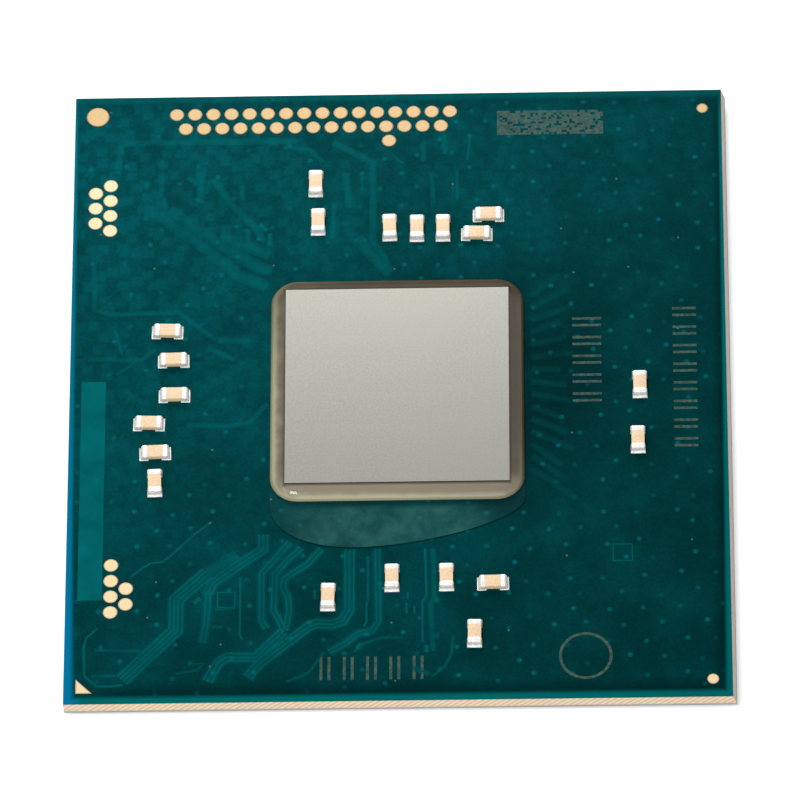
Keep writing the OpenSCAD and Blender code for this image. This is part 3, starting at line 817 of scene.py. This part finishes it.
class PACKAGE_OT_marks(PackageOperator, bpy.types.Operator):
    """Etch the plain laser marks: a block patch, short paired bars and a ring"""
    bl_idname = "package.marks"
    bl_label = "Laser marks"

    def execute(self, context):
        size = sizes()
        burn = laser_material()
        seat(self.block_patch(), "laser_block_patch", burn)
        bars = (self.pairs(8, (10.4, 3.4), (0.9, 0), (0, -0.83))
                + self.pairs(5, (6.57, 3), (1.1, 0), (0, -0.84))
                + self.pairs(5, (-2.8, -12.6), (0, 1), (0.87, 0)))
        seat(ridges(bars, size.mark_line, size.mark_rise), "laser_bars", burn)
        x, y = RING_MIDDLE
        circle = [(x + RING_RADIUS * math.cos(a), y + RING_RADIUS * math.sin(a))
                  for a in (math.tau * k / 48 for k in range(49))]
        seat(ridges([circle], size.mark_line, size.mark_rise), "laser_ring", burn)
        return {"FINISHED"}

    def pairs(self, count, start, bar, step):
        """Bars in pairs, in millimetres: the first pair's middle starts at start, and
        each next pair lies one step on"""
        start, bar, step = Vector(start), Vector(bar), Vector(step)
        apart = step.normalized() * BAR_SPACING / 2
        feet = [start + step * k + shift for k in range(count) for shift in (-apart, apart)]
        return [[foot, foot + bar] for foot in feet]

    def block_patch(self):
        """Random blocks on a grid, as a machine-read patch would leave"""
        columns, rows = PATCH_BLOCKS
        filled, dice = 0.8, random.Random(7)
        piece = start_primitive(bpy.ops.mesh.primitive_grid_add, x_subdivisions=columns,
                                y_subdivisions=rows, size=sizes().block)
        edit_all()
        bpy.ops.transform.resize(value=(columns, rows, 1), center_override=(0, 0, 0))
        x, y = PATCH_MIDDLE
        bpy.ops.transform.translate(value=(x * MM, y * MM, BOARD_TOP))
        pick(piece, lambda centre, normal: dice.random() > filled)
        bpy.ops.mesh.delete(type="FACE")
        bpy.ops.mesh.select_all(action="SELECT")
        bpy.ops.mesh.extrude_region_move(TRANSFORM_OT_translate={"value": (0, 0, sizes().mark_rise)})
        close_up()
        return piece


class PACKAGE_OT_pads(PackageOperator, bpy.types.Operator):
    """Model the gilded pads, each with the darker rim where the mask laps over it"""
    bl_idname = "package.pads"
    bl_label = "Gold pads"

    def execute(self, context):
        size, colour = sizes(), colours()
        gilt = gold_material("immersion_gold", tuple(colour.gold))
        dull = gold_material("gold_under_mask_lap", tuple(colour.gold_rim))
        dip, weld = 0.002 * MM, 0.0005 * MM
        for name in GOLD_PADS:
            pads = copy_of(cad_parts[name])
            make_active(pads)
            edit_all()
            bpy.ops.mesh.remove_doubles(threshold=weld)
            bpy.ops.mesh.dissolve_limited(angle_limit=math.radians(1))
            pick(pads, lambda centre, normal: normal.z > 0.9)
            bpy.ops.transform.translate(value=(0, 0, -dip))
            bpy.ops.mesh.inset(thickness=size.pad_rim, depth=dip, use_individual=True)
            bpy.ops.object.mode_set(mode="OBJECT")
            inner = [face.select for face in pads.data.polygons]
            seat(pads, name + "_gilt", gilt)
            pads.data.materials.append(dull)
            for face, bright in zip(pads.data.polygons, inner):
                face.material_index = 0 if bright else 1
            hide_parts(name)
        return {"FINISHED"}


class PACKAGE_OT_die(PackageOperator, bpy.types.Operator):
    """Finish the die and the underfill that holds it"""
    bl_idname = "package.die"
    bl_label = "Die and underfill"

    def execute(self, context):
        wear("die", silicon_material())
        wear("underfill", underfill_material())
        return {"FINISHED"}


class PACKAGE_OT_capacitors(PackageOperator, bpy.types.Operator):
    """Model one chip capacitor and set a copy in each place"""
    bl_idname = "package.capacitors"
    bl_label = "Capacitors"

    def execute(self, context):
        low, high = (Vector(c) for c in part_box(CAPACITORS[0] + "_ends"))
        span = high - low
        length, width, height = max(span.x, span.y), min(span.x, span.y), span.z
        ceramic = self.ceramic_block(length, width, height)
        ends = self.metal_ends(length, width, height)
        joints = self.solder_joints(length, width)
        fired, plated = ceramic_material(), tin_material("matt_tin_plating", 0.4)
        soldered = tin_material("reflowed_solder_joint", 0.45)
        dice = random.Random(11)
        all_joints = []
        for name in CAPACITORS:
            low, high = (Vector(c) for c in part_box(name + "_ends"))
            middle = (low + high) / 2
            along_y = high.y - low.y > high.x - low.x
            turn = math.radians((90 if along_y else 0) + dice.uniform(-1.8, 1.8))
            middle.z = low.z
            place = Matrix.Translation(middle) @ Matrix.Rotation(turn, 4, "Z")
            body = seat(copy_of(ceramic, place), name + "_ceramic", fired)
            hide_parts(name + "_body")
            caps = seat(copy_of(ends, place), name + "_metal", plated)
            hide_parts(name + "_ends")
            all_joints.append(copy_of(joints, place))
        joined = seat(join(all_joints), "capacitor_joints", soldered)
        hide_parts("capacitor_solder_joints")
        for master in (ceramic, ends, joints):
            bpy.data.objects.remove(master)
        return {"FINISHED"}

    def ceramic_block(self, length, width, height):
        """Fired block with softly tumbled edges"""
        skin = 2 * sizes().plating
        piece = block((0, 0, height / 2), (length - skin, width - skin, height - skin))
        round_edges(sizes().plating, 2)
        bpy.ops.object.shade_smooth_by_angle(angle=math.radians(40))
        return piece

    def metal_ends(self, length, width, height):
        """Two dipped ends, rounded where the paste drew back"""
        end = sizes().plated_end
        pair = []
        for side in (-1, 1):
            piece = block((side * (length - end) / 2, 0, height / 2), (end, width, height))
            round_edges(sizes().end_round, 4)
            bpy.ops.object.shade_smooth()
            pair.append(piece)
        return join(pair)

    def solder_joints(self, length, width):
        """Two joints whose hollow faces run from the pad up the metal end"""
        size = sizes()
        under_end, spare = 0.015 * MM, 0.01 * MM
        lift = BOARD_TOP - BOARD_LOW.z + under_end
        # Share of the climb, share of the toe drawn back, and narrowing, step by step
        slope = ((0.06, 0.34, 0.96), (0.12, 0.27, 0.97), (0.2, 0.2, 0.98),
                 (0.27, 0.12, 0.98), (0.35, 0.07, 0.96))
        pair = []
        for side in (-1, 1):
            inner = side * (length / 2 - size.plated_end - spare)
            reach = size.plated_end + size.solder_toe + 2 * spare
            piece = block((inner + side * reach / 2, 0, -lift / 2), (reach, width + 2 * spare, lift))
            pick(piece, lambda centre, normal: normal.z > 0.9)
            for rise, pull, narrow in slope:
                shorter = reach - size.solder_toe * pull
                bpy.ops.mesh.extrude_region_move(
                    TRANSFORM_OT_translate={"value": (0, 0, size.solder_climb * rise)})
                bpy.ops.transform.resize(value=(shorter / reach, narrow, 1),
                                         center_override=(inner, 0, 0))
                reach = shorter
            close_up()
            bpy.ops.object.shade_smooth_by_angle(angle=math.radians(50))
            pair.append(piece)
        return join(pair)


class PACKAGE_OT_balls(PackageOperator, bpy.types.Operator):
    """Finish the solder balls on the lower face"""
    bl_idname = "package.balls"
    bl_label = "Solder balls"

    def execute(self, context):
        solder = tin_material("reflowed_solder_ball", 0.3)
        for name in BALL_FIELDS:
            wear(name, solder)
        return {"FINISHED"}


class PACKAGE_OT_stage(PackageOperator, bpy.types.Operator):
    """Set the floor, the surroundings, the lamps and the camera"""
    bl_idname = "package.stage"
    bl_label = "Stage"

    # Place, target and side of each square lamp in metres, and its power in watts
    LAMPS = {"key": ((-0.07, -0.045, 0.08), (0, 0, 0), 0.05, 0.022),
             "back": ((-0.004, 0.06, 0.05), (0, 0.01, 0), 0.04, 0.034),
             "front fill": ((0.03, -0.2, 0.07), (0, 0, 0), 0.15, 0.16),
             "spot": ((-0.0264, -0.0497, 0.106), (0, 0, 0), 0.03, 0.047)}

    def execute(self, context):
        self.floor()
        self.surroundings(context.scene)
        for name, settings in self.LAMPS.items():
            self.lamp(name, *settings)
        self.camera(context.scene)
        context.scene.view_settings.view_transform = "Standard"
        return {"FINISHED"}

    def backdrop_ray(self, add):
        """1 for a ray that shows the background, straight or by way of metal or glass"""
        path = add("LightPath").outputs
        seen = add("Math", {0: path["Is Camera Ray"], 1: path["Is Glossy Ray"]}, operation="MAXIMUM")
        return add("Math", {0: seen, 1: path["Is Transmission Ray"]}, operation="MAXIMUM")

    def floor(self):
        """White card, a little cloudy, that brightens only where it is seen"""
        piece = start_primitive(bpy.ops.mesh.primitive_plane_add, size=1.2)
        piece.name = "floor"
        material, add, shader, points = new_material("matt_white_card")
        cloud = add("TexNoise", {"Vector": points, "Scale": 0.025, "Detail": 1.0})
        tone = add("Mix", {0: cloud, 6: (0.93, 0.93, 0.93), 7: (0.95, 0.95, 0.95)}, **OF_COLOURS)
        glow = add("Math", {0: self.backdrop_ray(add), 1: 0.4}, operation="MULTIPLY")
        finish(add, shader, tone, Roughness=0.9, Specular_IOR_Level=0.1,
               Emission_Color=(1, 1, 1), Emission_Strength=glow)
        piece.data.materials.append(material)

    def surroundings(self, scene):
        """Even soft light, and plain white wherever the background is seen"""
        world = bpy.data.worlds.new("studio")
        scene.world = world
        world.use_nodes = True
        world.node_tree.nodes.clear()
        add = partial(add_node, world.node_tree)
        soft = add("Background", {"Color": (1, 1, 1), "Strength": 0.26})
        white = add("Background", {"Color": (1, 1, 1), "Strength": 1.0})
        mixed = add("MixShader", {0: self.backdrop_ray(add), 1: soft, 2: white})
        add("OutputWorld", {"Surface": mixed})

    def lamp(self, name, place, target, side, power):
        """Square lamp turned to its target"""
        light = bpy.data.lights.new(name, "AREA")
        light.size = side
        light.energy = power
        piece = bpy.data.objects.new(name, light)
        bpy.context.collection.objects.link(piece)
        piece.location = place
        aim = Vector(target) - Vector(place)
        piece.rotation_euler = aim.to_track_quat("-Z", "Y").to_euler()

    def camera(self, scene):
        """Long lens from the front, high up, turned a little about its own axis"""
        azimuth, elevation, roll = (math.radians(a) for a in (2.5, 58.6, -2.9))
        distance = 358 * MM
        target = Vector((0, -0.39 * MM, BOARD_TOP))
        back = Vector((math.sin(azimuth) * math.cos(elevation),
                       -math.cos(azimuth) * math.cos(elevation), math.sin(elevation)))
        data = bpy.data.cameras.new("camera")
        data.sensor_width = 36
        data.lens = 423.9
        data.clip_start = 0.01
        data.clip_end = 10
        piece = bpy.data.objects.new("camera", data)
        bpy.context.collection.objects.link(piece)
        turn = back.to_track_quat("Z", "Y").to_matrix().to_4x4()
        piece.matrix_world = (Matrix.Translation(target + back * distance) @ turn
                              @ Matrix.Rotation(roll, 4, "Z"))
        scene.camera = piece


OPERATORS = (PACKAGE_OT_board, PACKAGE_OT_copper, PACKAGE_OT_marks, PACKAGE_OT_pads,
             PACKAGE_OT_die, PACKAGE_OT_capacitors, PACKAGE_OT_balls, PACKAGE_OT_stage)


class PACKAGE_PT_sidebar(bpy.types.Panel):
    """Lists the package's groups and what can be set"""
    bl_label = "Ball Grid Array Package"
    bl_idname = "PACKAGE_PT_sidebar"
    bl_space_type = "VIEW_3D"
    bl_region_type = "UI"
    bl_category = "Package"

    def draw(self, context):
        for operator in OPERATORS:
            self.layout.operator(operator.bl_idname)
        for group in (context.scene.package_sizes, context.scene.package_colours):
            box = self.layout.box()
            for name in group.__annotations__:
                box.prop(group, name)


CLASSES = (PackageColours, PackageSizes, *OPERATORS, PACKAGE_PT_sidebar)


def register():
    for cls in CLASSES:
        bpy.utils.register_class(cls)
    bpy.types.Scene.package_colours = bpy.props.PointerProperty(type=PackageColours)
    bpy.types.Scene.package_sizes = bpy.props.PointerProperty(type=PackageSizes)


def unregister():
    del bpy.types.Scene.package_sizes
    del bpy.types.Scene.package_colours
    for cls in reversed(CLASSES):
        bpy.utils.unregister_class(cls)


def main():
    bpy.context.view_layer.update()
    register()
    for operator in OPERATORS:
        group, name = operator.bl_idname.split(".")
        getattr(getattr(bpy.ops, group), name)()


if __name__ == "__main__":
    main()
